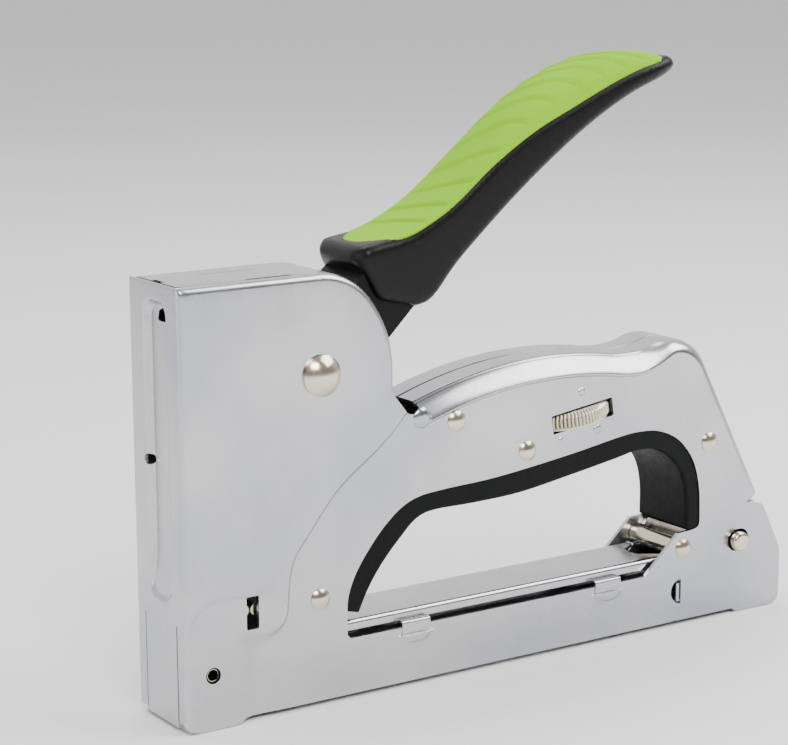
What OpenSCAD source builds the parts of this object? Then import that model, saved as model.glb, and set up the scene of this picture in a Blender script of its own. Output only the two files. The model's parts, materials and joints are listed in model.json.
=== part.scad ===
// Heavy-duty hand staple gun with its working parts.
// Side views are drawn in the XZ plane: x runs back from the front face and z up from the ground.
// The part's origin is under the middle of its length, so every node is moved by -body_l / 2.

/* [Body] */
// Length from the front face to the tail
body_l = 206; // [205.5:0.5:206.5]
// Height of the head's flat top
head_h = 117; // [116.5:0.5:117.5]
// Width over the head's side plates
head_w = 26; // [25.8:0.1:26.2]
// Width over the rear side plates
rear_w = 23.4; // [23.2:0.1:23.6]
// Thickness of the shell sheet
sheet = 1.2; // [1.1:0.1:1.2]
// Height of the long bottom edge above the feet
sill_z = 1.2; // [1:0.1:1.4]

/* [Handle] */
// Pivot pin, back from the front face
pivot_x = 41.8; // [41.6:0.1:42]
// Pivot pin, height
pivot_z = 90.2; // [90:0.1:90.4]
// Pivot pin radius
pivot_r = 3; // [2.8:0.1:3]
// Width of the grip
grip_w = 24; // [23:0.5:24]
// Width over the lever's two cheeks
lever_w = 19; // [18.8:0.1:19]
// Distance from the pivot to the lever's lifting toes
toe_reach = 24; // [23.8:0.1:24.2]
// Angle of the lifting arms below the horizontal at rest
toe_drop = 17; // [16.5:0.5:17.5]

/* [Drive] */
// Middle of the plunger and main spring, back from the front face
drive_x = 15; // [14.8:0.1:15.2]
// Height of the plunger's underside at rest
plunger_z = 44; // [43.9:0.1:44.5]
// Thickness of the driver blade
blade_t = 1.2; // [1:0.1:1.2]
// Width of the driver blade
blade_w = 12.6; // [12:0.2:12.8]

/* [Magazine] */
// Width over the staple channel
channel_w = 13.8; // [13.6:0.1:13.8]
// Width of the inner rail the staples straddle
rail_w = 7.9; // [7.8:0.1:8]
// Width over the fixed magazine cover
cover_w = 19; // [18.8:0.1:19.2]
// Height of the cover's top face
cover_z = 21.1; // [21:0.1:21.3]

/* [Adjuster] */
// Thumbwheel radius
wheel_r = 14.8; // [14.4:0.1:14.8]
// Thumbwheel thickness
wheel_t = 4.7; // [4.5:0.1:4.7]
// Tilt of the thumbwheel's axis from the vertical
wheel_tilt = 7.8; // [7.6:0.1:7.9]

/* [Fits] */
// Radial clearance of a running fit
run_gap = 0.05; // [0.03:0.01:0.08]
// Clearance between pieces that move past each other
slip = 0.4; // [0.35:0.05:0.4]

/* [Hidden] */
$fn = 64;

steel = "silver";
nickel = "tan";
dark = [0.15, 0.15, 0.15];

head_y = head_w / 2;
rear_y = rear_w / 2;
head_in = head_y - sheet;
rear_in = rear_y - sheet;

// Places of the five body rivets, in the side view
rivets = [[85.6, 72.2], [109.7, 60.6], [41.4, 29.4], [176.8, 54.2], [167.5, 23]];
rivet_r = 1.9;
rivet_head_r = 2.9;
rivet_head_h = 1.3;
sleeve_r = 3.4;

// Hole on each side of the nose
nose_hole = [8.1, 14.8];
nose_r = 2.2;

// Latch pin, and how far it can be drawn back in its slots
latch = [188.3, 22.4];
latch_r = 3;
latch_stroke = 1.5;
latch_out = 14.6;

// Thumbwheel's middle, and its windows in the side plates
wheel = [129.3, 68.15];
window_l = 21.8;
window_h = 5.4;

// Lifting toe at rest
toe = [pivot_x - toe_reach * cos(toe_drop), pivot_z - toe_reach * sin(toe_drop)];
toe_r = 1.7;

// ---- Curves -------------------------------------------------------------------------------

// One span of a smooth curve through b and c, with a and d as its neighbours
function span(a, b, c, d, t) =
  b + (c - a) * t / 2 + (2 * a - 5 * b + 4 * c - d) * t * t / 2 + (3 * b - a - 3 * c + d) * t * t * t / 2;

// A smooth open curve through all the given points
function curve(p, steps = 6) = let (last = len(p) - 1) concat(
  [for (i = [0:last - 1], k = [0:steps - 1])
    span(p[max(i - 1, 0)], p[i], p[i + 1], p[min(i + 2, last)], k / steps)],
  [p[last]]);

function reversed(p) = [for (i = [len(p) - 1:-1:0]) p[i]];

function arc(centre, r, from, to, steps = 8) =
  [for (k = [0:steps]) let (a = from + (to - from) * k / steps) centre + r * [cos(a), sin(a)]];

// A path is a start [x, z, heading] and legs of [radius, turn]; radius 0 means straight, with a length
function leg_centre(s, leg) = let (side = leg[1] > 0 ? 1 : -1)
  [s[0] - side * leg[0] * sin(s[2]), s[1] + side * leg[0] * cos(s[2])];
function leg_at(s, leg, part) = leg[0] == 0
  ? [s[0] + part * leg[1] * cos(s[2]), s[1] + part * leg[1] * sin(s[2]), s[2]]
  : let (side = leg[1] > 0 ? 1 : -1, c = leg_centre(s, leg), h = s[2] + part * leg[1])
    [c[0] + side * leg[0] * sin(h), c[1] - side * leg[0] * cos(h), h];
function leg_starts(s, legs, i = 0) = i == len(legs) ? [s]
  : concat([s], leg_starts(leg_at(s, legs[i], 1), legs, i + 1));

// Points along a path, moved by inset to its right-hand side
function path(start, legs, inset = 0, steps = 8) = let (starts = leg_starts(start, legs)) concat(
  [for (i = [0:len(legs) - 1], k = [0:steps - 1]) let (s = leg_at(starts[i], legs[i], k / steps))
    [s[0] + inset * sin(s[2]), s[1] - inset * cos(s[2])]],
  [let (s = starts[len(legs)]) [s[0] + inset * sin(s[2]), s[1] - inset * cos(s[2])]]);

// Top of the grip bar: a long hump, a dip, a short hump, then straight down the spine
bar_start = [74, 78.5, 19.2];
bar_legs = [[137, -28.7], [40, 26.5]];
hump_leg = [13.5, -79.5];
spine_leg = [0, 47.5];
spine_legs = [hump_leg, spine_leg];
bar_states = leg_starts(bar_start, bar_legs);

// Terraces of the rolled edge: [inner y, outer y, upper inset, lower inset] from the path
bar_terraces = [[8, 9.8, 0.5, 2.4], [9.6, 11.2, 1.6, 4.3], [11, 12.5, 3, 6.6]];
spine_terraces = [[8, 9.8, 0.3, 1.9], [9.6, 11, 1, 3.2]];
bar_inset = 6;
spine_inset = 2;

// Rear corner of the head, from the flat top to its upright edge
head_start = [42, head_h, 0];
head_legs = [[20, -50], [32, -40]];

// Step between the proud head plate and the recessed rear plate, from the top down
seam = [[68.4, 76.3], [64.7, 72.4], [59.4, 67.9], [48.9, 60.4], [43.3, 54.8], [37.6, 47.7],
        [33.4, 42.2], [31.7, 36.4], [30.8, 27.5], [28.6, 24], [25, 22.4], [18.3, 22.2]];

// Edge of the hand hole, from the magazine at the front round to the diagonal at the rear
hole_edge = [[49.8, 24.5], [50.2, 28.5], [52, 33.4], [55.4, 38.8], [61, 45.4], [67, 50.4], [73, 52.9],
             [82, 53.8], [100, 54.7], [125, 57.6], [143, 60.3], [151, 60.8], [158, 59.9], [165, 56.4],
             [170.4, 50], [173, 42], [173.6, 33], [173.2, 29.2], [170.5, 28.3]];
hole_floor = [[165.4, 28], [153, 16.8], [50.8, 16.8], [49.8, 18]];

// Inner face of the rubber liner, from its front foot to its rear foot
liner_edge = [[54.3, 23.4], [57.8, 30.1], [62.4, 36.3], [68.1, 42.2], [73, 46.4], [79, 48], [92, 48],
              [108, 48.6], [126, 51.1], [142, 53.6], [150, 55], [157, 54.4], [163, 50.8], [167, 45.4],
              [168.8, 38], [168.9, 29.2]];
liner_lip = 1.2;

// Side view of the handle
grip_top = [[55, 121.6], [59, 122.8], [69.5, 124.5], [77, 127.5], [85.8, 132.5], [98.7, 142.3],
            [112, 150.3], [125.3, 156.3], [139.3, 162.3], [150, 166], [160, 168]];
grip_under = [[163, 165.8], [158, 163.3], [146.3, 158.7], [132.3, 150.9], [118.7, 141.6],
              [105.3, 131.5], [92.2, 120.5], [85.8, 114.6], [80.5, 108.6], [77, 105.9], [73.2, 105]];
pad_top = [[61, 124.3], [70, 126.6], [80, 131], [90, 137.6], [100, 147], [108, 154.6], [118, 161.6],
           [129, 166.6], [140, 169.4], [150, 170.2], [158, 169.6], [165.5, 167.4]];

// ---- Building blocks ----------------------------------------------------------------------

// A side-view outline made into a plate from y to y + t
module plate(y, t) translate([0, y + t, 0]) rotate([90, 0, 0]) linear_extrude(t) children();

// A plate on each side, between y and y + t from the middle
module both_plates(y, t) {
  plate(y, t) children();
  plate(-y - t, t) children();
}

// A round bar across the body at p, out to half_w each side
module cross_bar(p, r, half_w)
  translate([p[0], half_w, p[1]]) rotate([90, 0, 0]) cylinder(h = 2 * half_w, r = r);

module block(low, high) translate(low) cube(high - low);

// A block with its x range, the y of its middle, its thickness and its z range
module side_block(x, y, t, z) block([x[0], y - t / 2, z[0]], [x[1], y + t / 2, z[1]]);

// Everything is drawn from the front face and moved to the part's own origin
module placed() translate([-body_l / 2, 0, 0]) children();

// Turns the z direction inward from one side of the body, at p and y away from the middle
module from_side(p, side, y) translate([p[0], side * y, p[1]]) rotate([side * 90, 0, 0]) children();

module slot_outline(from, to, r) {
  translate(from) circle(r);
  translate(to) circle(r);
  polygon([from + [0, -r], to + [0, -r], to + [0, r], from + [0, r]]);
}

module rivet(p, half_w) {
  cross_bar(p, rivet_r, half_w);
  for (side = [-1, 1])
    translate([p[0], side * half_w, p[1]]) rotate([-side * 90, 0, 0]) rivet_cap(rivet_head_r, rivet_head_h);
}

// A low dome standing on z = 0
module rivet_cap(r, h) {
  rim = h * 0.35;
  crown = h - rim;
  ball = (r * r + crown * crown) / (2 * crown);
  rotate_extrude() intersection() {
    translate([0, h - ball]) circle(ball);
    square([r, h]);
  }
}

// A coil spring standing on z = 0, swept as a tube with flat ends
module coil(r, wire, rise, turns, per_turn = 16, sides = 8) {
  rings = ceil(turns * per_turn);
  points = [for (i = [0:rings], k = [0:sides - 1])
    let (a = 360 * turns * i / rings, b = 360 * k / sides, q = r + wire * cos(b))
      [q * cos(a), q * sin(a), wire + (rise - 2 * wire) * i / rings + wire * sin(b)]];
  walls = [for (i = [0:rings - 1], k = [0:sides - 1], half = [0, 1])
    let (n = (k + 1) % sides, a = i * sides, b = a + sides)
      half == 0 ? [a + k, a + n, b + n] : [a + k, b + n, b + k]];
  first = [for (k = [sides - 1:-1:0]) k];
  final = [for (k = [0:sides - 1]) rings * sides + k];
  polyhedron(points, concat(walls, [first], [final]));
}

// ---- Shell sheets -------------------------------------------------------------------------

module head_outline(front = 0) polygon(concat(
  [[front, 3.5], [front + 1, 1], [front + 3.5, 0], [15.5, 0], [17, sill_z], [18.3, sill_z]],
  reversed(seam), [[64.8, 84.4]],
  reversed(path(head_start, head_legs)), [[front, head_h]]));

tail_corner = [[187, sill_z], [188.6, 0], [202.6, 0]];
tail_edge = [[body_l, 3.4], [body_l, 14.8], [body_l - 0.8, 19], [199, 31.2], [197.4, 32.7],
             [195.2, 33.2], [194.2, 34.3]];

module rear_outline() polygon(concat(
  [[17, sill_z]], tail_corner, tail_edge,
  reversed(path(bar_states[2], spine_legs, spine_inset)),
  [for (p = reversed(path(bar_start, bar_legs, bar_inset))) if (p[0] > 77) p],
  [for (p = seam) p + [-1.2, 1.2]], [[17, 23.4]]));

// A strip of the rolled edge along a path, from y to y + t
module terrace(y, t, start, legs, upper, lower)
  plate(-y - t, t) polygon(concat(path(start, legs, upper), reversed(path(start, legs, lower))));

// The side plate, step and rolled edge of one shell, drawn on the -Y side
module shell_sheet(front = 0) {
  plate(-head_y, sheet) head_outline(front);
  plate(-rear_y, sheet) rear_outline();
  plate(-head_y, head_y - rear_in) intersection() {
    head_outline();
    rear_outline();
  }
  terrace(0.05, 8.1, bar_start, concat(bar_legs, spine_legs), 0, sheet);
  for (t = bar_terraces) terrace(t[0], t[1] - t[0], bar_start, bar_legs, t[2], t[3]);
  for (t = spine_terraces) terrace(t[0], t[1] - t[0], bar_states[2], spine_legs, t[2], t[3]);
  for (x = tab_places) plate(-rear_y - 1.1, 1.2) pocket_outline(x);
}

// Centres of the magazine cover's tabs, and the raised pockets around them
tab_places = [72, 139];
tab_w = 9.4;

module pocket_outline(x) polygon([[x - 6.4, 16.6], [x - 6, 13.2], [x - 4.4, 12.2], [x + 4.4, 12.2],
                                  [x + 6, 13.2], [x + 6.4, 16.6]]);

module wheel_window() translate(wheel) rotate(wheel_tilt) square([window_l, window_h], center = true);

module window_d() intersection() {
  translate([166.8, 10.2]) circle(3.8);
  translate([162.5, 4]) square([4.3, 12]);
}

module shell_openings() {
  cross_bar([pivot_x, pivot_z], pivot_r, head_y + 1);
  for (p = rivets) cross_bar(p, rivet_r, head_y + 1);
  cross_bar(nose_hole, nose_r, head_y + 1);
  plate(-head_y - 1, 2 * head_y + 2) {
    translate([18.3, 25.2]) square([3.7, 8.9]);
    wheel_window();
    window_d();
    slot_outline(latch, latch + [latch_stroke, 0], latch_r + 0.35);
    polygon(concat(curve(hole_edge), hole_floor));
    for (x = tab_places) translate([x - tab_w / 2 - 0.5, 14]) square([tab_w + 1, 4]);
  }
}

// The left shell also carries the front face, folded across to the right shell: it has a pressed
// groove, and two slits that free a tongue in front of the driver blade
groove_y = 6.5;
groove_d = 2;
groove_z = [33, 113];
slit_y = 8.3;
slit_top = 28.5;

module front_face() difference() {
  union() {
    block([0, -head_y, 1.5], [sheet, head_y, head_h - sheet - 0.1]);
    block([0, -groove_y - sheet, groove_z[0] - sheet],
          [groove_d + sheet, groove_y + sheet, groove_z[1] + sheet]);
  }
  block([-1, -groove_y, groove_z[0]], [groove_d, groove_y, groove_z[1]]);
  for (side = [-1, 1]) block([-1, side * slit_y - 0.3, -1], [sheet + 1, side * slit_y + 0.3, slit_top]);
  translate([-1, 5.7, 70]) rotate([0, 90, 0]) cylinder(h = 6, r = 1.4);
  block([1, -4.2, 106.9], [6, 2.2, 110.2]);
}

module left_shell() color(steel) placed() {
  difference() {
    shell_sheet();
    shell_openings();
  }
  front_face();
}

// The right shell also carries the head's top plate, folded across to the left shell
module right_shell() color(steel) placed() {
  difference() {
    mirror([0, 1, 0]) shell_sheet(sheet + 0.1);
    shell_openings();
  }
  difference() {
    plate(-head_in + 0.1, head_y + head_in - 0.1) polygon(concat(
      [[sheet + 0.1, head_h]], path(head_start, [[20, -36]]),
      reversed(path(head_start, [[20, -36]], sheet)), [[sheet + 0.1, head_h - sheet]]));
    block([21.5, -head_in, head_h - 3], [34.2, -head_in + 0.9, head_h + 1]);
    block([1, -1.7, head_h - 3], [2.6, 3.3, head_h + 1]);
  }
}

// ---- Pieces inside the nose and head ------------------------------------------------------

blade_x = groove_d + sheet + 0.3;
guide_l = 16.6;
guide_top = 34;

module nose_guide() color("gray") placed() difference() {
  block([sheet + 0.1, -head_in + 0.1, 0], [guide_l, head_in - 0.1, guide_top]);
  block([blade_x - 0.1, -blade_w / 2 - 0.3, -1],
        [blade_x + blade_t + 0.2, blade_w / 2 + 0.3, guide_top + 1]);
  block([blade_x + blade_t, -channel_w / 2 - 0.3, -1], [guide_l + 1, channel_w / 2 + 0.3, 18.6]);
  block([sheet, -groove_y - sheet - 0.1, groove_z[0] - sheet - 0.1],
        [blade_x, groove_y + sheet + 0.1, guide_top + 1]);
  for (side = [-1, 1]) from_side(nose_hole, side, head_in - 0.1) cylinder(h = 3, r = nose_r);
}

module nose_pin() color(dark) placed() for (side = [-1, 1]) difference() {
  from_side(nose_hole, side, head_y - 0.5) cylinder(h = head_y - head_in + 2.6, r = nose_r);
  from_side(nose_hole, side, head_y) cylinder(h = 3.5, r = 1.5);
}

seat_z = head_h - sheet - 3;

module spring_seat() color("gray") placed() {
  block([6, -head_in + 0.1, seat_z], [26, head_in - 0.1, head_h - sheet]);
  translate([drive_x, 0, seat_z - 5]) cylinder(h = 5.1, r = 4.6);
}

module bumper() color(dark) placed() block([7, -9, guide_top], [22.5, 9, plunger_z - 0.2]);

module pivot_pin() color(nickel) placed() {
  cross_bar([pivot_x, pivot_z], pivot_r, head_y);
  for (side = [-1, 1])
    translate([pivot_x, side * head_y, pivot_z]) rotate([-side * 90, 0, 0]) rivet_cap(5.6, 3.2);
}

bush_r = 4.5;

module pivot_sleeve() color("gray") placed() difference() {
  cross_bar([pivot_x, pivot_z], bush_r, head_in - 0.1);
  cross_bar([pivot_x, pivot_z], pivot_r, head_y);
}

module body_rivets() color(nickel) placed() for (p = rivets) rivet(p, rear_y);

module spacer_sleeves() color(nickel) placed() for (p = rivets) difference() {
  cross_bar(p, sleeve_r, rear_in);
  cross_bar(p, rivet_r, head_y);
}

// Two rods side by side across the nose, behind the slot in the side plates
module cross_rods() color(nickel) placed() for (x = [18.7, 22.5]) cross_bar([x, 29.8], 1.75, rear_in);

// Rubber liner of the hand hole: a body inside the hole's edge and a lip behind the plates
module liner_outline(grow) intersection() {
  polygon(concat([for (p = curve(hole_edge)) p + grow * sign_from(p)], reversed(curve(liner_edge))));
  translate([45, 23.4]) square([135, 45]);
}

function sign_from(p) = let (d = p - [112, 40]) d / norm(d);

module grip_liner() color(dark) placed() {
  plate(-rear_y + 0.2, 2 * rear_y - 0.4) liner_outline(-0.1);
  plate(-rear_in + 0.1, 2 * rear_in - 0.2) liner_outline(liner_lip);
}

module magazine_cover() color(steel) placed() {
  difference() {
    block([20, -cover_w / 2, 18.2], [163, cover_w / 2, cover_z]);
    block([19, -cover_w / 2 + 1, 10], [164, cover_w / 2 - 1, cover_z - 1]);
    translate([163, 0, 10]) cylinder(h = 20, r = 6.5);
  }
  for (x = tab_places, side = [-1, 1]) {
    side_block([x - tab_w / 2, x + tab_w / 2], side * (rear_y - 0.6), 1, [14.3, 18.9]);
    side_block([x - tab_w / 2, x + tab_w / 2], side * 10.3, 2.2, [17.7, 18.9]);
  }
}

// ---- Handle -------------------------------------------------------------------------------

lever_y = lever_w / 2;
cheek_t = 1.6;

// Core of the lever: a bar from behind the pivot up into the grip
module lever_core_outline() polygon([[52, 94], [64.5, 96.6], [73.4, 105.2], [86, 117.5], [118, 146],
                                     [115, 149.6], [80, 126.4], [62, 119], [55.8, 114]]);

module lever_arm_outline() {
  translate([pivot_x, pivot_z]) circle(9);
  translate(toe) circle(3.2);
  polygon([[pivot_x - 2, pivot_z + 8.5], toe + [-1, 3.1], toe + [1.2, -3], [pivot_x + 2, pivot_z - 8.7]]);
  polygon([[pivot_x - 3, pivot_z + 8], [pivot_x + 5, pivot_z - 7.5], [64.5, 96.6], [55.8, 114]]);
}

module handle_lever() color(dark) placed() difference() {
  union() {
    both_plates(lever_y - cheek_t, cheek_t) lever_arm_outline();
    plate(-lever_y, lever_w) lever_core_outline();
    for (side = [-1, 1]) translate([toe[0], side * (lever_y - 0.5), toe[1]]) rotate([-side * 90, 0, 0])
      cylinder(h = head_in - slip - lever_y + 0.3, r = toe_r);
  }
  cross_bar([pivot_x, pivot_z], bush_r + run_gap, head_y);
}

module grip_outline() polygon(concat(
  curve(grip_top), curve(grip_under), [[70.6, 105.7], [60.9, 108.4], [57.9, 114.6], [54.6, 119.5]]));

module handle_grip() color(dark) placed() difference() {
  plate(-grip_w / 2, grip_w) grip_outline();
  plate(-lever_y - 0.05, lever_w + 0.1) lever_core_outline();
}

module handle_pad() color("yellowgreen") placed() plate(-grip_w / 2 + 0.6, grip_w - 1.2) polygon(concat(
  curve(pad_top), [[163, 167.3]], [for (p = reversed(curve(grip_top))) if (p[0] > 58.9) p]));

module return_spring() color("gray") placed() {
  translate([pivot_x, 3.5, pivot_z]) rotate([90, 0, 0]) coil(6, 0.6, 7, 4.25, 20, 6);
  translate([pivot_x, 2.9, pivot_z + 6]) rotate([0, 50, 0]) translate([0, 0, -1.2])
    cylinder(h = 13.2, r = 0.6);
  translate([pivot_x - 6.1, -2.9, pivot_z - 1]) cylinder(h = 26.3, r = 0.6);
}

// ---- Drive --------------------------------------------------------------------------------

arm_y = lever_y + slip;
arm_t = 1.4;
base_t = 6;

module plunger() color("gray") placed() {
  block([6, -arm_y - arm_t, plunger_z], [24, arm_y + arm_t, plunger_z + base_t]);
  translate([drive_x, 0, plunger_z + base_t - 0.1]) cylinder(h = 5.1, r = 4.6);
  difference() {
    block([blade_x + blade_t, -blade_w / 2, plunger_z], [6.1, blade_w / 2, plunger_z + 16]);
    translate([0, 0, 54]) rotate([0, 90, 0]) cylinder(h = 10, r = 1.5);
  }
  difference() {
    both_plates(arm_y, arm_t)
      polygon([[12, plunger_z], [24, plunger_z], [24.5, 90], [22, 93], [15, 93], [12, 88]]);
    translate([15.7, -head_y, toe[1] - toe_r - slip]) cube([5.3, head_w, 2 * toe_r + 2 * slip]);
  }
}

module driver_blade() color("gray") placed() difference() {
  block([blade_x, -blade_w / 2, 1], [blade_x + blade_t, blade_w / 2, plunger_z + 16]);
  translate([0, 0, 54]) rotate([0, 90, 0]) cylinder(h = 10, r = 1.5);
}

module blade_rivet() color(nickel) placed() {
  translate([blade_x + 0.1, 0, 54]) rotate([0, 90, 0]) cylinder(h = 6 - blade_x, r = 1.5);
  translate([6.1, 0, 54]) rotate([0, 90, 0]) cylinder(h = 1, r = 2.4);
}

module main_spring() color("gray") placed()
  translate([drive_x, 0, plunger_z + base_t]) coil(6.2, 1, seat_z - plunger_z - base_t, 9, 20, 8);

// ---- Magazine -----------------------------------------------------------------------------

channel_x = 5.3;
tail_x = 183;
rail_z = 15.6;
rod_z = 9;
rod_r = 1.5;

module staple_channel() color(steel) placed() difference() {
  block([channel_x, -channel_w / 2, 1.7], [tail_x, channel_w / 2, 16.5]);
  block([channel_x - 1, -channel_w / 2 + 1, 2.7], [tail_x + 1, channel_w / 2 - 1, 20]);
}

module staple_rail() color(steel) placed() difference() {
  block([channel_x, -rail_w / 2, 2.7], [tail_x, rail_w / 2, rail_z]);
  block([channel_x - 1, -rail_w / 2 + 1, 0], [tail_x + 1, rail_w / 2 - 1, rail_z - 1]);
  block([channel_x - 1, -1.1, rail_z - 2], [tail_x - 4, 1.1, rail_z + 1]);
}

module pusher_rod() color(nickel) placed()
  translate([channel_x + 0.2, 0, rod_z]) rotate([0, 90, 0]) cylinder(h = 184 - channel_x, r = rod_r);

module tail_block() color(dark) placed() difference() {
  union() {
    plate(-8.6, 17.2) polygon([[tail_x, 2], [204.8, 2], [204.8, 14.5], [203.8, 18.8], [199, 28],
                               [194.6, 28], [194.6, 18.6], [tail_x, 18.6]]);
    block([177, -4, 16.8], [tail_x + 1, 4, 18.5]);
  }
  translate([tail_x - 1, 0, rod_z]) rotate([0, 90, 0]) cylinder(h = 2.5, r = rod_r);
  for (z = [5, 9, 13]) block([204, -7, z - 1], [206, 7, z + 1]);
}

pusher_x = channel_x + 0.5;
pusher_l = 14;

module pusher() color("gray") placed() difference() {
  union() {
    block([pusher_x, -5.5, rail_z + 0.4], [pusher_x + pusher_l, 5.5, rail_z + 1.5]);
    for (side = [-1, 1]) side_block([pusher_x, pusher_x + pusher_l], side * 4.95, 1.1, [4, rail_z + 1.5]);
    block([pusher_x, -0.75, rod_z], [pusher_x + 10, 0.75, rail_z + 0.5]);
    translate([pusher_x, 0, rod_z]) rotate([0, 90, 0]) cylinder(h = 12, r = 2.5);
  }
  translate([pusher_x - 1, 0, rod_z]) rotate([0, 90, 0]) cylinder(h = 20, r = rod_r + run_gap);
}

module pusher_spring() color("gray") placed()
  translate([pusher_x + 12, 0, rod_z]) rotate([0, 90, 0]) coil(2.2, 0.35, tail_x - pusher_x - 12, 30, 12, 6);

// ---- Latch --------------------------------------------------------------------------------

bracket_y = rear_in - 0.1;

module latch_bracket() color(steel) placed() difference() {
  union() {
    both_plates(bracket_y - 1.2, 1.2) polygon([
      [158, 3], [196, 3], [196, 27.2], [191.4, 29], [176.8, 29], [176.8, 27.5],
      [171.3, 27.5], [164, 18], [164, 15.8], [158, 15.8]]);
    block([176.8, -bracket_y, 27.8], [191.4, bracket_y, 29]);
    block([171.3, -bracket_y, 18.2], [172.5, bracket_y, 27.5]);
    for (side = [-1, 1]) side_block([165.2, 166.3], side * (bracket_y + 0.5), 1.2, [7.2, 12.6]);
  }
  plate(-head_y, head_w) slot_outline(latch, latch + [latch_stroke, 0], latch_r + 0.35);
  cross_bar([167.5, 23], sleeve_r, head_y);
  for (side = [-1, 1]) side_block([161.5, 165.2], side * bracket_y, 4, [5.5, 15]);
}

module latch_pin() color(nickel) placed() {
  cross_bar(latch, latch_r, latch_out - 0.4);
  cross_bar(latch, latch_r - 0.4, latch_out);
}

module latch_spring() color("gray") placed()
  translate([172.5, 0, latch[1]]) rotate([0, 90, 0]) coil(2.2, 0.35, latch[0] - latch_r - 172.5, 6, 12, 6);

// ---- Adjuster -----------------------------------------------------------------------------

spindle_r = 3;
plate_low = -6.6;
plate_high = 10.9;

// The adjuster is drawn about its own axis: x along the grip bar, z along the spindle
module on_spindle() placed() translate([wheel[0], 0, wheel[1]]) rotate([0, -wheel_tilt, 0]) children();

module thumbwheel() color(nickel) on_spindle() difference() {
  ridges = 60;
  translate([0, 0, -wheel_t / 2]) linear_extrude(wheel_t) polygon([for (i = [0:2 * ridges - 1])
    let (a = 180 * i / ridges, r = wheel_r - 0.7 * (i % 2)) r * [cos(a), sin(a)]]);
  translate([0, 0, -wheel_t]) cylinder(h = 2 * wheel_t, r = spindle_r);
}

module adjuster_spindle() color("gray") on_spindle()
  translate([0, 0, plate_low + 0.2]) cylinder(h = plate_high - plate_low + 1.6, r = spindle_r);

module adjuster_bracket() color("gray") on_spindle() difference() {
  union() {
    block([-8, -bracket_y, plate_low], [16.6, bracket_y, plate_low + 1.6]);
    block([-8, -7.8, plate_high], [16.6, 7.8, plate_high + 1.2]);
    block([15.2, -7.8, plate_low], [16.6, 7.8, plate_high + 1.2]);
  }
  translate([0, 0, plate_low - 1]) cylinder(h = 30, r = spindle_r + run_gap);
}

module adjuster_block() color("gray") on_spindle() difference() {
  block([-12, -5.5, 3], [5, 5.5, 8.6]);
  block([-13, -6, 4.2], [-6.4, 6, 8]);
  translate([0, 0, 2]) cylinder(h = 8, r = spindle_r + run_gap);
}

// Flat lever from the adjuster block, over the first rivet's sleeve, to the plunger's rear
lever_tip = wheel + [-9.6 * cos(wheel_tilt) - 6.2 * sin(wheel_tilt),
                     -9.6 * sin(wheel_tilt) + 6.2 * cos(wheel_tilt)];

module force_lever() color("gray") placed() difference() {
  plate(-1.5, 3) polygon(concat(
    arc(lever_tip, 1.2, -95, 85), arc(rivets[0], 6, 60, 110, 4),
    [[60, 67], [38, 59], [28, 54], [28, 49], [40, 53], [60, 60]], arc(rivets[0], 6, 230, 290, 4)));
  cross_bar(rivets[0], sleeve_r + run_gap, 5);
}

left_shell();
right_shell();
nose_guide();
nose_pin();
spring_seat();
bumper();
pivot_pin();
pivot_sleeve();
body_rivets();
spacer_sleeves();
cross_rods();
grip_liner();
magazine_cover();
adjuster_bracket();
latch_bracket();
main_spring();
latch_spring();
handle_lever();
handle_grip();
handle_pad();
return_spring();
plunger();
driver_blade();
blade_rivet();
staple_channel();
staple_rail();
pusher_rod();
tail_block();
pusher_spring();
pusher();
latch_pin();
thumbwheel();
adjuster_spindle();
adjuster_block();
force_lever();
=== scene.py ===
# Looks of the staple gun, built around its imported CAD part.
# Shapes are drawn in millimetres: x runs back from the front face, y to the far side, z up from the ground.
import json
import math

import bmesh
import bpy
import numpy as np
from mathutils import Matrix, Vector
from mathutils.geometry import delaunay_2d_cdt


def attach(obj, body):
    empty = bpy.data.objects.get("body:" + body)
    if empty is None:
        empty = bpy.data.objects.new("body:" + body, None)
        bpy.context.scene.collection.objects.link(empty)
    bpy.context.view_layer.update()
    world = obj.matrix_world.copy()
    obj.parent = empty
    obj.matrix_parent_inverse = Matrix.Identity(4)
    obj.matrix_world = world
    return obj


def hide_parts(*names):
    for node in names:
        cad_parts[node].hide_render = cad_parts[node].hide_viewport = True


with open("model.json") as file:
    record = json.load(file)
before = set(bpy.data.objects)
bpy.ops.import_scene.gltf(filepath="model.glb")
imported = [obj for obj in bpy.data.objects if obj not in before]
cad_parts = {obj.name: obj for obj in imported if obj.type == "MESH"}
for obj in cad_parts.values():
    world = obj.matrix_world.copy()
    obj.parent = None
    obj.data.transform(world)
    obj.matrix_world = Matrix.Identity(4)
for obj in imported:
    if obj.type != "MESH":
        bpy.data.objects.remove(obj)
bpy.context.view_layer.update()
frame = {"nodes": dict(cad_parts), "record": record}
HALF = 103
MM = 0.001
HEAD_Y, REAR_Y = 13.0, 11.7
SHEET = 1.1


# ---- Curves -------------------------------------------------------------------------------

def curve(points, steps=6):
    """A smooth open curve through all the points."""
    p = np.array(points, float)
    last = len(p) - 1
    out = []
    for i in range(last):
        a, b, c, d = p[max(i - 1, 0)], p[i], p[i + 1], p[min(i + 2, last)]
        for t in np.arange(steps) / steps:
            out.append(b + (c - a) * t / 2 + (2 * a - 5 * b + 4 * c - d) * t**2 / 2
                       + (3 * b - a - 3 * c + d) * t**3 / 2)
    return np.array(out + [p[last]])


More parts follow.
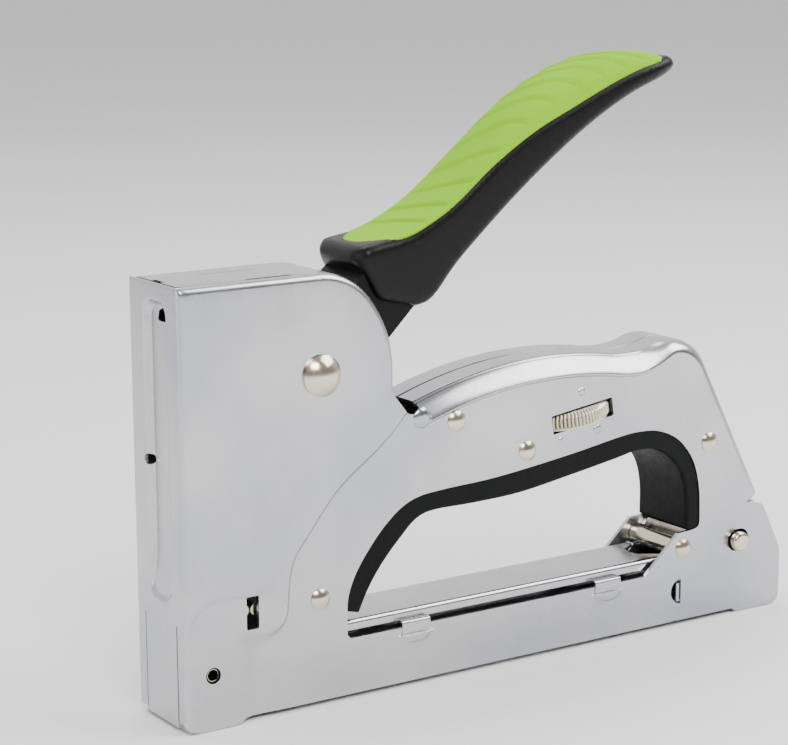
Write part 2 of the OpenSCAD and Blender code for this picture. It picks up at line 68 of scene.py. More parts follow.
def path(start, legs, step=1.2):
    """Rows of x, z, heading in degrees and distance. A leg is [radius, turn], or [0, length] if straight."""
    x, z, h = start
    rows, run = [], 0.0
    for radius, turn in legs:
        length = turn if radius == 0 else radius * abs(math.radians(turn))
        count = max(2, round(length / step))
        for k in range(count + 1):
            part = k / count
            if radius == 0:
                a = math.radians(h)
                row = (x + part * turn * math.cos(a), z + part * turn * math.sin(a), h)
            else:
                side = 1 if turn > 0 else -1
                a, b = math.radians(h), math.radians(h + part * turn)
                cx, cz = x - side * radius * math.sin(a), z + side * radius * math.cos(a)
                row = (cx + side * radius * math.sin(b), cz - side * radius * math.cos(b), h + part * turn)
            if k < count:
                rows.append((*row, run + part * length))
        (x, z, h), run = row, run + length
    return np.array(rows + [(x, z, h, run)])


def inset(rows, d):
    """The x, z line of a path moved by d to its right-hand side."""
    a = np.radians(rows[:, 2])
    return np.stack([rows[:, 0] + d * np.sin(a), rows[:, 1] - d * np.cos(a)], 1)


def offset(line, d):
    """The line moved by d to its right-hand side."""
    t = np.gradient(line, axis=0)
    t /= np.linalg.norm(t, axis=1)[:, None]
    return line + d * np.stack([t[:, 1], -t[:, 0]], 1)


def spaced(line, step, closed=False):
    """The line with points added so that none are further apart than step."""
    line = np.array(line, float)
    if closed:
        line = np.vstack([line, line[:1]])
    out = []
    for a, b in zip(line[:-1], line[1:]):
        n = max(1, math.ceil(np.linalg.norm(b - a) / step))
        out += [a + (b - a) * k / n for k in range(n)]
    return np.array(out if closed else out + [line[-1]])


def circle(x, z, r, n=24, start=0, turn=360):
    """Points round a circle, or along an arc of it with both ends."""
    a = np.radians(start + turn * np.arange(n + (turn != 360)) / n)
    return np.stack([x + r * np.cos(a), z + r * np.sin(a)], 1)


def rounded_box(x0, z0, x1, z1, r, n=5):
    return np.vstack([circle(x1 - r, z1 - r, r, n, 0, 90), circle(x0 + r, z1 - r, r, n, 90, 90),
                      circle(x0 + r, z0 + r, r, n, 180, 90), circle(x1 - r, z0 + r, r, n, 270, 90)])


def turned(points, x, z, degrees):
    c, s = math.cos(math.radians(degrees)), math.sin(math.radians(degrees))
    p = np.array(points) - (x, z)
    return np.stack([x + p[:, 0] * c - p[:, 1] * s, z + p[:, 0] * s + p[:, 1] * c], 1)


def smooth(t):
    t = np.clip(t, 0, 1)
    return t * t * (3 - 2 * t)


def inside(p, *loops):
    """Which points are inside an odd number of the closed loops."""
    odd = np.zeros(len(p), bool)
    for loop in loops:
        a, b = np.array(loop), np.roll(np.array(loop), -1, 0)
        for (ax, ay), (bx, by) in zip(a, b):
            if ay != by:
                cut = (p[:, 1] < ay) != (p[:, 1] < by)
                odd ^= cut & (p[:, 0] < ax + (bx - ax) * (p[:, 1] - ay) / (by - ay))
    return odd


def distance(p, line):
    """Shortest distance from each point to the line."""
    best = np.full(len(p), 1e9)
    for a, b in zip(line[:-1], line[1:]):
        ab = b - a
        t = np.clip(((p - a) @ ab) / max(ab @ ab, 1e-12), 0, 1)
        best = np.minimum(best, np.linalg.norm(p - a - t[:, None] * ab, axis=1))
    return best


def triangles(outline, holes=(), lines=(), grid=2.5, clear=0.55):
    """Points and triangles that fill the outline, leave out the holes and follow the lines."""
    points, edges = [], []
    for loop in (outline, *holes):
        base = len(points)
        points += list(loop)
        edges += [(base + k, base + (k + 1) % len(loop)) for k in range(len(loop))]
    for line in lines:
        line = line[inside(line, outline, *holes)]
        base = len(points)
        points += list(line)
        edges += [(base + k, base + k + 1) for k in range(len(line) - 1)
                  if np.linalg.norm(line[k + 1] - line[k]) < 3 * grid]
    held = np.array(points)
    low, high = np.array(outline).min(0), np.array(outline).max(0)
    rows = np.arange(low[1], high[1], grid * 0.866)
    fill = np.array([(x + grid / 2 * (k % 2), z) for k, z in enumerate(rows)
                     for x in np.arange(low[0], high[0], grid)])
    fill = fill[inside(fill, outline, *holes)]
    near = np.array([np.min(np.sum((held - p) ** 2, 1)) for p in fill])
    points += list(fill[near > (clear * grid) ** 2])
    made = delaunay_2d_cdt([Vector(p) for p in points], edges, [], 0, 1e-4)
    found = np.array([tuple(v) for v in made[0]])
    faces = [tuple(f) for f in made[2]]
    centres = np.array([found[list(f)].mean(0) for f in faces])
    keep = inside(centres, outline, *holes)
    return found, [f for f, k in zip(faces, keep) if k]


# ---- Mesh pieces --------------------------------------------------------------------------

class Shape:
    """Vertices in millimetres and faces, gathered from several patches."""

    def __init__(self):
        self.verts, self.faces = [], []

    def add(self, verts, faces):
        base = len(self.verts)
        self.verts += [tuple(map(float, v)) for v in verts]
        self.faces += [tuple(base + i for i in f) for f in faces]
        return self

    def grid(self, rows, wrap=False, caps=False, leave_out=()):
        """A surface through rows of points, all of one length, without the (row, column) quads left out."""
        n = len(rows[0])
        verts = [v for row in rows for v in row]
        last = n if wrap else n - 1
        faces = [(i * n + j, i * n + (j + 1) % n, (i + 1) * n + (j + 1) % n, (i + 1) * n + j)
                 for i in range(len(rows) - 1) for j in range(last) if (i, j) not in leave_out]
        if caps:
            faces += [tuple(range(n - 1, -1, -1)), tuple((len(rows) - 1) * n + j for j in range(n))]
        return self.add(verts, faces)

    def lathe(self, at, along, profile, n=48):
        """Turns a profile of (distance along, radius) round an axis; ends of radius 0 close it."""
        along = Vector(along).normalized()
        a = along.orthogonal().normalized()
        b = along.cross(a)
        rows = []
        for d, r in profile:
            c = Vector(at) + along * d
            turns = [2 * math.pi * k / n for k in range(n)]
            rows.append([c + (a * math.cos(t) + b * math.sin(t)) * max(r, 1e-4) for t in turns])
        return self.grid(rows, wrap=True, caps=True)

    def mirrored(self):
        other = Shape()
        other.verts = [(x, -y, z) for x, y, z in self.verts]
        other.faces = [tuple(reversed(f)) for f in self.faces]
        return other


def piece(name, shape, body, material, replaces=(), outward=None, sheet=0, bevel=0, weld=0.01,
          sharp=40):
    """Makes an object of the shape; outward is a point and direction that the surface should face."""
    mesh = bpy.data.meshes.new(name)
    mesh.from_pydata([((x - HALF) * MM, y * MM, z * MM) for x, y, z in shape.verts], [], shape.faces)
    bm = bmesh.new()
    bm.from_mesh(mesh)
    bmesh.ops.remove_doubles(bm, verts=bm.verts, dist=weld * MM)
    bmesh.ops.dissolve_degenerate(bm, edges=bm.edges, dist=1e-7)
    bmesh.ops.recalc_face_normals(bm, faces=bm.faces)
    if outward:
        at = Vector(((outward[0][0] - HALF) * MM, outward[0][1] * MM, outward[0][2] * MM))
        nearest = min(bm.faces, key=lambda f: (f.calc_center_median() - at).length)
        if nearest.normal.dot(Vector(outward[1])) < 0:
            bmesh.ops.reverse_faces(bm, faces=bm.faces)
    for f in bm.faces:
        f.smooth = True
    for e in bm.edges:
        e.smooth = len(e.link_faces) != 2 or e.calc_face_angle(0) < math.radians(sharp)
    bm.to_mesh(mesh)
    bm.free()
    o = bpy.data.objects.new(name, mesh)
    bpy.context.scene.collection.objects.link(o)
    mesh.materials.append(material)
    if sheet:
        m = o.modifiers.new("thickness", "SOLIDIFY")
        m.thickness, m.offset, m.use_rim = sheet * MM, -1, True
    finish_edges(o, bevel)
    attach(o, body)
    if replaces:
        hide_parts(*replaces)
    return o


def finish_edges(o, bevel, angle=35):
    """Adds a small bevel to the sharp edges and evens out the shading."""
    if bevel:
        m = o.modifiers.new("edges", "BEVEL")
        m.width, m.segments, m.limit_method, m.angle_limit = bevel * MM, 2, "ANGLE", math.radians(angle)
        m.use_clamp_overlap, m.harden_normals = True, False
    m = o.modifiers.new("shading", "WEIGHTED_NORMAL")
    m.keep_sharp = True


def side(points, y):
    """Side-view points as vertices; y is one number or one per point."""
    y = np.broadcast_to(y, len(points))
    return np.stack([points[:, 0], y, points[:, 1]], 1)


def sweep(shape, points, normals, ups, profile, leave_out=()):
    """Carries profile(row) along a line; profile points are (out along the normal, on along up)."""
    rows = [[Vector(p) + Vector(n) * a + Vector(u) * b for a, b in profile(k)]
            for k, (p, n, u) in enumerate(zip(points, normals, ups))]
    shape.grid(rows, leave_out=leave_out)


def pillow(outline, half, radius, grid=3, wall=3):
    """A body with this side view, its edges rounded. half gives the half width at each point."""
    s = Shape()
    area = np.sum(outline[:, 0] * np.roll(outline[:, 1], -1) - np.roll(outline[:, 0], -1) * outline[:, 1])
    outline = outline if area > 0 else outline[::-1]
    closed = np.vstack([outline, outline[:1]])
    t = np.roll(outline, -1, 0) - np.roll(outline, 1, 0)
    t /= np.linalg.norm(t, axis=1)[:, None]
    inward = np.stack([-t[:, 1], t[:, 0]], 1)
    rings = []
    for depth in (0.12 * radius, 0.35 * radius, 0.65 * radius, radius):
        ring = outline + inward * depth
        ring = ring[distance(ring, closed) > 0.8 * depth]
        rings.append(np.vstack([ring, ring[:1]]))
    p, f = triangles(outline, lines=rings, grid=grid)
    d = np.clip(distance(p, closed), 0, radius)
    y = half(p) - radius + np.sqrt(np.maximum(radius**2 - (radius - d) ** 2, 0))
    s.add(side(p, -y), [tuple(reversed(q)) for q in f]).add(side(p, y), f)
    edge = half(outline) - radius
    s.grid([side(outline, edge * (1 - 2 * k / wall)) for k in range(wall + 1)], wrap=True)
    return s


# ---- Materials ----------------------------------------------------------------------------

def material(name, color, metallic=0.0, rough=0.4, vary=0.04, scale=300, stretch=(1, 1, 1), bump=0.0,
             bump_scale=900, tint=None, tint_scale=25, tint_amount=0.25, **constants):
    """A Principled material with noise in its roughness, its tint and, if asked, a fine bump."""
    m = bpy.data.materials.new(name)
    m.use_nodes = True
    nodes, links = m.node_tree.nodes, m.node_tree.links
    shader = nodes["Principled BSDF"]
    shader.inputs["Metallic"].default_value = metallic
    for key, value in constants.items():
        shader.inputs[key.replace("_", " ")].default_value = value
    place = nodes.new("ShaderNodeTexCoord")
    mapping = nodes.new("ShaderNodeMapping")
    mapping.inputs["Scale"].default_value = stretch
    links.new(place.outputs["Object"], mapping.inputs["Vector"])

    def noise(size, detail=3):
        n = nodes.new("ShaderNodeTexNoise")
        n.inputs["Scale"].default_value = size
        n.inputs["Detail"].default_value = detail
        links.new(mapping.outputs["Vector"], n.inputs["Vector"])
        return n.outputs["Fac"]

    def ramp(source, low, high):
        r = nodes.new("ShaderNodeMapRange")
        r.inputs["From Min"].default_value, r.inputs["From Max"].default_value = 0.3, 0.7
        r.inputs["To Min"].default_value, r.inputs["To Max"].default_value = low, high
        links.new(source, r.inputs["Value"])
        return r.outputs["Result"]

    links.new(ramp(noise(scale), rough - vary, rough + vary), shader.inputs["Roughness"])
    mix = nodes.new("ShaderNodeMix")
    mix.data_type = "RGBA"
    mix.inputs["A"].default_value = (*color, 1)
    mix.inputs["B"].default_value = (*(tint or [c * 0.93 for c in color]), 1)
    links.new(ramp(noise(tint_scale, 4), 0, tint_amount), mix.inputs["Factor"])
    links.new(mix.outputs["Result"], shader.inputs["Base Color"])
    if bump:
        b = nodes.new("ShaderNodeBump")
        b.inputs["Strength"].default_value, b.inputs["Distance"].default_value = bump, 0.0002
        links.new(noise(bump_scale, 2), b.inputs["Height"])
        links.new(b.outputs["Normal"], shader.inputs["Normal"])
    return m


STEEL = material("satin_steel", (0.59, 0.575, 0.565), 1, 0.25, 0.05, 60, (1, 1, 1), 0.03, 700,
                 (0.42, 0.43, 0.49), 20, 1)
INNER = material("inner_steel", (0.5, 0.5, 0.5), 1, 0.36, 0.05, 200)
NICKEL = material("rivet_nickel", (0.72, 0.64, 0.49), 1, 0.22, 0.05, 400, tint=(0.6, 0.52, 0.38))
WHEEL = material("wheel_nickel", (0.68, 0.63, 0.52), 1, 0.3, 0.05, 500, tint=(0.5, 0.46, 0.38),
                 tint_amount=0.5)
SPRING = material("spring_steel", (0.45, 0.45, 0.46), 1, 0.3, 0.05, 400)
# Black paint of the lever; also used on the nose pin as painted shade, so its short bore reads as a deep dark
# hole.
BLACK_PAINT_AND_BORE_SHADE = material("black_steel", (0.006, 0.0062, 0.006), 0, 0.4, 0.06, 300, Specular_IOR_Level=0.12)
BLACK = material("grip_black", (0.0035, 0.0037, 0.0033), 0, 0.36, 0.05, 500, bump=0.06, bump_scale=1500,
                 Specular_IOR_Level=0.2)
GREEN = material("pad_green", (0.23, 0.52, 0.001), 0, 0.65, 0.05, 500, bump=0.1, bump_scale=1800,
                 tint=(0.2, 0.47, 0.001), tint_scale=60, Specular_IOR_Level=0.12)
RUBBER = material("liner_rubber", (0.0025, 0.003, 0.0029), 0, 0.5, 0.06, 500, bump=0.1, bump_scale=1300,
                  Specular_IOR_Level=0.13)
BUMPER = material("bumper_rubber", (0.03, 0.028, 0.026), 0, 0.65, 0.05, 500)
PLASTIC = material("tail_plastic", (0.02, 0.02, 0.021), 0, 0.45, 0.05, 500)
FLOOR = material("floor_white", (0.9, 0.9, 0.9), 0, 0.85, 0.02, 4, tint=(0.88, 0.88, 0.88), tint_scale=1)

SLOTS = {"sheet_steel": STEEL, "rivet_nickel": NICKEL, "wheel_nickel": WHEEL, "tool_steel": INNER,
         "spring_steel": SPRING, "black_steel": BLACK_PAINT_AND_BORE_SHADE, "grip_black": BLACK, "pad_green": GREEN,
         "liner_rubber": RUBBER, "bumper_rubber": BUMPER, "tail_plastic": PLASTIC}


# ---- Outlines -----------------------------------------------------------------------------

BAR = path([74, 78.5, 19.2], [[137, -28.7], [40, 26.5], [13.5, -79.5], [0, 47.5]])
HEAD = path([2.7, 117, 0], [[0, 39.3], [20, -50], [32, -40], [0, 5]], 1.5)
BASE_INSET = 7
ROLL = 2

SEAM = curve([[68.4, 76.3], [64.7, 72.4], [59.4, 67.9], [48.9, 60.4], [43.3, 54.8], [37.6, 47.7],
              [33.4, 42.2], [31.7, 36.4], [30.8, 27.5], [28.6, 24], [25, 22.4], [18.3, 22.2]], 5)
STEP = np.vstack([[73, 81], SEAM, [[18.3, 12], [18.3, -5]]])
HEAD_SIDE = np.vstack([[[-40, -5]], STEP[::-1], [[73, 130], [-40, 130]]])
NOSE_CREASE = curve([[1.5, 28.8], [3.2, 32], [7.5, 35], [14, 35.2], [21, 34.7], [25.2, 36.4], [29, 40.3],
                     [33, 43]], 5)
NOSE_SIDE = np.vstack([NOSE_CREASE, [[40, 30], [30, -5], [-3, -5]]])

HOLE_TOP = curve([[49.8, 24.5], [50.2, 28.5], [52, 33.4], [55.4, 38.8], [61, 45.4], [67, 50.4], [73, 52.9],
                  [82, 53.8], [100, 54.7], [125, 57.6], [143, 60.3], [151, 60.8], [158, 59.9], [165, 56.4],
                  [170.4, 50], [173, 42], [173.6, 33], [173.2, 29.2], [170.5, 28.3]], 5)
HOLE = np.vstack([HOLE_TOP, [[165.4, 28], [153, 16.8], [50.8, 16.8], [49.8, 18]]])
LINER = curve([[54.3, 23.4], [57.8, 30.1], [62.4, 36.3], [68.1, 42.2], [73, 46.4], [79, 48], [92, 48],
               [108, 48.6], [126, 51.1], [142, 53.6], [150, 55], [157, 54.4], [163, 50.8], [167, 45.4],
               [168.8, 38], [168.9, 29.2]], 5)
TAIL = [[18.3, 1.2], [164.1, 1.2], [164.6, 1.8], [165.1, 1.2], [187, 1.2], [188.6, 0], [202.6, 0],
        [204.4, 0.5], [205.5, 1.6], [206, 3.4], [206, 14.8], [205.8, 17.2], [205.2, 19], [199.2, 31],
        [198.6, 32], [197.6, 32.5], [195.3, 33], [194.6, 33.9]]
RIVETS = [[85.6, 72.2], [109.7, 60.6], [41.4, 29.4], [176.8, 54.2], [167.5, 23]]
LATCH = [188.3, 22.4]
LATCH_STROKE = 1.5
LATCH_SLOT_R = 3.35
WHEEL_AT = [129.3, 68.15]
WHEEL_TILT = 7.8
WINDOW_HALF = [10.9, 2.7]
TABS = [72, 139]
TAB_HALF = 4.6
POCKET = [6, 3.2]
POCKET_Z = 14.6
DOTS = [[128.7, 75.2, 1.1], [121.5, 62.3, 0.7], [134.5, 63.7, 1.2]]
BLOB = [74.2, 74.6]
NOSE_HOLE = [8.1, 14.8]
NOSE_HOLE_R = 2.2
PIVOT = [41.8, 90.2]


# ---- Shells -------------------------------------------------------------------------------

def fold(y):
    """Unrolled x of a place on the front face."""
    return ROLL - ROLL * math.pi / 2 - (y + HEAD_Y - ROLL)


def groove_box(d=0.0):
    """Edge of the front face's groove, moved inward by d, in unrolled x and z."""
    box = rounded_box(-6.6 + d, 33 + d, 6.6 - d, 113 - d, 4.5 - d * 0.6, 7)
    return np.stack([[fold(y) for y in box[:, 0]], box[:, 1]], 1)


def groove_depth(y, z):
    q = np.stack([np.abs(y) - 2.1, np.abs(z - 73) - 35.5], 1)
    d = np.linalg.norm(np.maximum(q, 0), axis=1) + np.minimum(q.max(1), 0) - 4.5
    return 2 * smooth(-d / 2.2) * (0.35 + 0.65 * smooth((z - 33) / 14))


def relief(p):
    """How far the side sheet stands out from the middle plane at each side-view point."""
    step = distance(p, STEP) * np.where(inside(p, HEAD_SIDE), -1, 1)
    width = 1.6 + 3 * smooth((30 - p[:, 0]) / 12)
    y = HEAD_Y - (HEAD_Y - REAR_Y) * smooth(step / width + 0.5)
    nose = distance(p, NOSE_CREASE) * np.where(inside(p, NOSE_SIDE), 1, -1)
    y = y - 0.35 * smooth(nose / 1.6 + 0.3) * smooth((31 - p[:, 0]) / 8)
    for x in TABS:
        r = np.hypot((p[:, 0] - x) / POCKET[0], (p[:, 1] - POCKET_Z) / POCKET[1])
        y = y + 1.5 * smooth((1 - r) / 0.6) * (p[:, 1] < POCKET_Z + 0.05)
    for x, z, r in DOTS:
        y = y + 0.4 * smooth((r + 0.2 - np.hypot(p[:, 0] - x, p[:, 1] - z)) / 0.5)
    blob = np.hypot(p[:, 0] - BLOB[0], p[:, 1] - BLOB[1]) / 2.9
    return y + 0.95 * np.clip(1 - blob**2, 0, 1) ** 0.6


def side_holes():
    """The openings of the side plate: hand hole, nose hole and slot, D window, wheel window, latch slot."""
    window = rounded_box(18.3, 25.2, 22, 34.1, 0.4, 3)
    d_window = circle(166.8, 10.2, 3.8, 14, 90, 180)
    x, z = WHEEL_AT
    a, b = WINDOW_HALF
    wheel = turned(rounded_box(x - a, z - b, x + a, z + b, 0.4, 3), x, z, WHEEL_TILT)
    latch = np.vstack([circle(LATCH[0] + LATCH_STROKE, LATCH[1], LATCH_SLOT_R, 12, -90, 180),
                       circle(*LATCH, LATCH_SLOT_R, 12, 90, 180)])
    return [spaced(HOLE, 1.6, True), circle(*NOSE_HOLE, NOSE_HOLE_R), window, d_window, wheel, latch]


def side_lines():
    """Lines that the side plate's triangles follow, so that its pressed shapes come out clean."""
    lines = [offset(spaced(SEAM, 1.5), d) for d in (-1.1, -0.5, 0.1, 0.7, 1.3)]
    lines += [offset(spaced(NOSE_CREASE, 1.5), d) for d in (-0.3, 0.5, 1.3)]
    for x in TABS:
        for k in (0.4, 0.55, 0.7, 0.85, 1):
            lines.append(circle(0, 0, 1, 22, 184, 172) * [POCKET[0] * k, POCKET[1] * k] + [x, POCKET_Z])
        lines += [spaced([[x - 6, z], [x + 6, z]], 0.8) for z in (POCKET_Z - 0.05, POCKET_Z + 0.15)]
    for x, z, r in DOTS:
        lines += [circle(x, z, r + d, 12) for d in (-0.35, -0.1, 0.2)]
    for r in (1, 1.9, 2.6, 3):
        lines.append(circle(*BLOB, r, 14))
    return lines


def bar_profile(k):
    """Cross-section of the rolled edge at one row of BAR, from the side plate in to the middle seam.

    Points are the distance in from the outer edge and y; the bar's profile turns into the back's.
    """
    s = BAR[k, 3]
    spine = smooth((s - 76) / 16)
    top = [(0, 7.1), (0, 5.5), (0, 3.5), (0, 1.5), (0, 0.5), (0.3, 0.08)]
    bar = [(7, 11.7), (6.5, 11.72), (6.15, 11.95), (5.85, 12.4), (5.4, 12.56), (4.8, 12.35), (4, 11.8),
           (3.2, 11.2), (2.4, 10.58), (1.6, 9.95), (0.75, 9.15), (0.5, 8.7), (0.75, 8.2), (0.55, 7.95),
           (0.15, 7.6)] + top
    back = [(7, 11.7), (6, 11.7), (5.2, 11.7), (4.4, 11.7), (3.8, 11.7), (3.3, 11.68), (2.7, 11.5),
            (2, 11.05), (1.35, 10.5), (0.8, 9.8), (0.42, 9), (0.3, 8.6), (0.22, 8.3), (0.14, 7.95),
            (0.06, 7.6)] + top
    rise = math.sqrt(max(0, 1 - (1 - min(s / 1.6, 1)) ** 2))
    out = []
    for (i0, y0), (i1, y1) in zip(bar, back):
        y0 = REAR_Y + (y0 - REAR_Y) * rise if y0 > REAR_Y else y0
        i, y = i0 + (i1 - i0) * spine, y0 + (y1 - y0) * spine
        out.append((y - REAR_Y, BASE_INSET - i))
    return out


def shell(front):
    """One folded sheet, on the -Y side, as an open surface. The front one also carries the front face."""
    s = Shape()
    bar_edge = inset(BAR, BASE_INSET)
    head_edge = inset(HEAD, ROLL)
    if front:
        def slit(y, w, foot):
            """Outline of a slit round y, w wide at each side, cut up from the face's lower edge."""
            return [[fold(y + w), foot[0]], [fold(y + w), 28.2], [fold(y + w / 2), 28.5],
                    [fold(y - w / 2), 28.5], [fold(y - w), 28.2], [fold(y - w), foot[1]]]

        start = [[fold(12.9), 2.2]] + slit(8.8, 0.16, (2, 1)) + slit(-8.3, 0.22, (1, 2.2))
        start += [[-1.14, 2.5], [0.4, 1.3]]
        top = [[x, 117 - ROLL] for x in np.linspace(2, fold(-11), 6)[1:]]
        top += [[x, 117 - ROLL] for x in np.linspace(fold(-11), fold(12.9), 12)[1:]]
    else:
        start, top = [[1.35, 3.2]], [[1.35, 117 - ROLL]]
    foot = [[1.9, 0.55], [3.5, 0], [15.3, 0], [16.5, 0.3], [17.3, 0.95]]
    neck = [[76.2, 76.4], [74.9, 77.5], [73.2, 77.4], [71.6, 76], [70.2, 76], [68.4, 77.2]]
    low_edge = np.vstack([start, foot, TAIL, bar_edge[-1:]])
    outline = np.vstack([spaced(low_edge, 2)[:-1], bar_edge[::-1], neck, head_edge[::-1], top])
    holes, lines = side_holes(), side_lines()
    if front:
        holes += [circle(fold(5.7), 70, 1.4, 16),
                  np.array([[fold(1.3), 107.4], [fold(0.8), 106.9], [fold(-3.9), 106.9], [fold(-4.9), 107.5],
                            [fold(-5), 109.2], [fold(-4), 110.3], [fold(-1.4), 110.5], [fold(0.6), 109.6]])]
        for d in (-0.1, 0.3, 0.7, 1.1, 1.5, 1.9):
            loop = spaced(groove_box(d), 2.4, True)
            lines.append(np.vstack([loop, loop[:1]]))
        for x in np.linspace(fold(-11), 2, 6):
            lines.append(np.stack([np.full(48, x), np.linspace(3.5, 114.2, 48)], 1))
    p, f = triangles(outline, holes, lines)
    u, z = p[:, 0], p[:, 1]
    turn = np.clip((ROLL - u) / ROLL, 0, math.pi / 2)
    out = relief(p)
    x = np.where(u < ROLL, ROLL - ROLL * np.sin(turn), u)
    y = -out + np.where(u < ROLL, ROLL * (1 - np.cos(turn)), 0)
    if front:
        face = u < fold(-11)
        across = -HEAD_Y + ROLL + (fold(-11) - u)
        x = np.where(face, groove_depth(across, z), x)
        y = np.where(face, across, y)
    s.add(np.stack([x if front else u, y if front else -out, z], 1), f)

    points, normals, ups = side(bar_edge, -REAR_Y), [(0, -1, 0)] * len(BAR), []
    for h in np.radians(BAR[:, 2]):
        ups.append((-math.sin(h), 0, math.cos(h)))
    sweep(s, points, normals, ups, bar_profile)

    lip = [(ROLL * (math.cos(a) - 1), ROLL * math.sin(a)) for a in np.linspace(0, math.pi / 2, 7)]
    lip += [(-ROLL - 0.45, ROLL)]
    edge = [(0, 0), (0, 0.6), (0, 1.1), (0, 1.45), (-0.06, 1.7), (-0.18, 1.88), (-0.35, 1.97), (-0.6, 2)]
    points, normals, ups = [], [], []
    if front:
        for v in np.linspace(fold(12.9), fold(-11), 12)[:-1]:
            points.append((0, -HEAD_Y + ROLL + fold(-11) - v, 117 - ROLL))
            normals.append((-1, 0, 0))
            ups.append((0, 0, 1))
        for v in np.linspace(fold(-11), 2, 6)[:-1]:
            a = (ROLL - v) / ROLL
            points.append((ROLL - ROLL * math.sin(a), -HEAD_Y + ROLL * (1 - math.cos(a)), 117 - ROLL))
            normals.append((-math.sin(a), -math.cos(a), 0))
            ups.append((0, 0, 1))
    else:
        points.append((1.35, -HEAD_Y, 117 - ROLL))
        normals.append((0, -1, 0))
        ups.append((0, 0, 1))
    for (px, pz), h in zip(head_edge, np.radians(HEAD[:, 2])):
        points.append((px, -HEAD_Y, pz))
        normals.append((0, -1, 0))
        ups.append((-math.sin(h), 0, math.cos(h)))
    count = len(points) - len(HEAD)

    def rim(k):
        """The front face has a plain top edge; the side rolls over."""
        t = smooth((k - 10) / (count - 10)) if front else 1
        return [(a + (c - a) * t, b + (d - b) * t) for (a, b), (c, d) in zip(edge, lip)]
    sweep(s, points, normals, ups, rim)
    if not front:
        last = int(np.searchsorted(HEAD[:, 3], 40 + 20 * math.radians(36))) + count

        def plate(k):
            """The top plate, from its fold to the other sheet's rim, with a shallow line and a slot."""
            px = points[k][0]
            dip = -0.2 * (15 < px < 31.5)
            ends = [(10.55, 0), (8, 0), (4.2, 0), (3.75, dip), (3.3, 0), (0.8, 0), (-1.7, 0), (-5, 0),
                    (-8.6, 0)]
            return [(y - HEAD_Y, ROLL + d) for y, d in ends] + [(-22.2 if 21 < px < 34.6 else -23.3, ROLL)]
        sweep(s, points[:last], normals[:last], ups[:last], plate, [(0, 4), (0, 5)])
    return s


near = shell(True)
piece("shell_near", near, "body", STEEL, ["left_shell"], ((60, -13, 90), (0, -1, 0)),
      SHEET, 0.12)
far = shell(False).mirrored()
piece("shell_far", far, "body", STEEL, ["right_shell"], ((60, 13, 90), (0, 1, 0)),
      SHEET, 0.12)


# ---- Rivets, pins and wheel ---------------------------------------------------------------

def dome(start, r, h, edge=0.3, n=8):
    """Profile of a low rounded head that stands on start."""
    out = [(start, r), (start + h * 0.25, r)]
    ball_h = h * 0.75
    ball = (r * r + ball_h * ball_h) / (2 * ball_h)
    top = math.asin(min(1, r / ball))
    for a in np.linspace(top, 0, n):
        out.append((start + h - ball + ball * math.cos(a), ball * math.sin(a)))
    return out


rivets = Shape()
for x, z in RIVETS:
    for y in (-1, 1):
        rivets.lathe((x, 0, z), (0, y, 0),
                     [(0, 1.9), (11.2, 1.9), (11.3, 2.2)] + dome(REAR_Y - 0.1, 2.9, 1.35))
piece("rivets", rivets, "body", NICKEL, ["body_rivets"], weld=0.0001)
pivot = Shape()
for y in (-1, 1):
    pivot.lathe((PIVOT[0], 0, PIVOT[1]), (0, y, 0),
                [(0, 3), (12.6, 3), (12.7, 4)] + dome(HEAD_Y - 0.1, 5.6, 3.2, n=14), 64)
piece("pivot_rivet", pivot, "body", NICKEL, ["pivot_pin"], weld=0.0001)
sleeves = Shape()
for x, z in RIVETS:
    sleeves.lathe((x, 0, z), (0, 1, 0),
                  [(-10.2, 1.6), (-10.45, 2.4), (-10.2, 2.6), (10.2, 2.6), (10.45, 2.4), (10.2, 1.6)])
piece("rivet_sleeves", sleeves, "body", NICKEL, ["spacer_sleeves"], weld=0.0001)
rods = Shape()
for x in (18.7, 22.5):
    rods.lathe((x, 0, 29.8), (0, 1, 0), [(-10.45, 1.3), (-10.3, 1.7), (10.3, 1.7), (10.45, 1.3)], 32)
piece("nose_rods", rods, "body", NICKEL, ["cross_rods"], weld=0.0001)
LATCH_END = [(12.8, 2.75), (12.9, 3), (13.8, 3), (14.2, 2.8), (14.5, 2.3), (14.6, 1.6)]
latch_bar = Shape().lathe((LATCH[0], 0, LATCH[1]), (0, 1, 0),
                          [(-d, r) for d, r in LATCH_END[::-1]] + LATCH_END)
piece("latch_bar", latch_bar, "latch", NICKEL, ["latch_pin"], weld=0.0001)
# The nose pin is coloured black all over as painted shade, so its short bore reads as a deep dark hole; a
# nickel band inside its mouth keeps the metal colour and catches the light.
ring = Shape()
for y in (-1, 1):
    ring.lathe((NOSE_HOLE[0], 0, NOSE_HOLE[1]), (0, y, 0),
               [(9.4, 0), (9.4, 2.1), (12.2, 2.1), (12.3, 2), (12.3, 1.75), (12.2, 1.7), (9.6, 1.6),
                (9.6, 0)])
piece("nose_ring", ring, "body", BLACK_PAINT_AND_BORE_SHADE, ["nose_pin"], weld=0.0001)
bright = Shape()
for y in (-1, 1):
    bright.lathe((NOSE_HOLE[0] + 0.1, 0, NOSE_HOLE[1]), (0, y, 0),
                 [(11.8, 1.66), (12.1, 1.66), (12.1, 1.52), (11.8, 1.52)])
piece("nose_ring_edge", bright, "body", NICKEL, weld=0.0001)


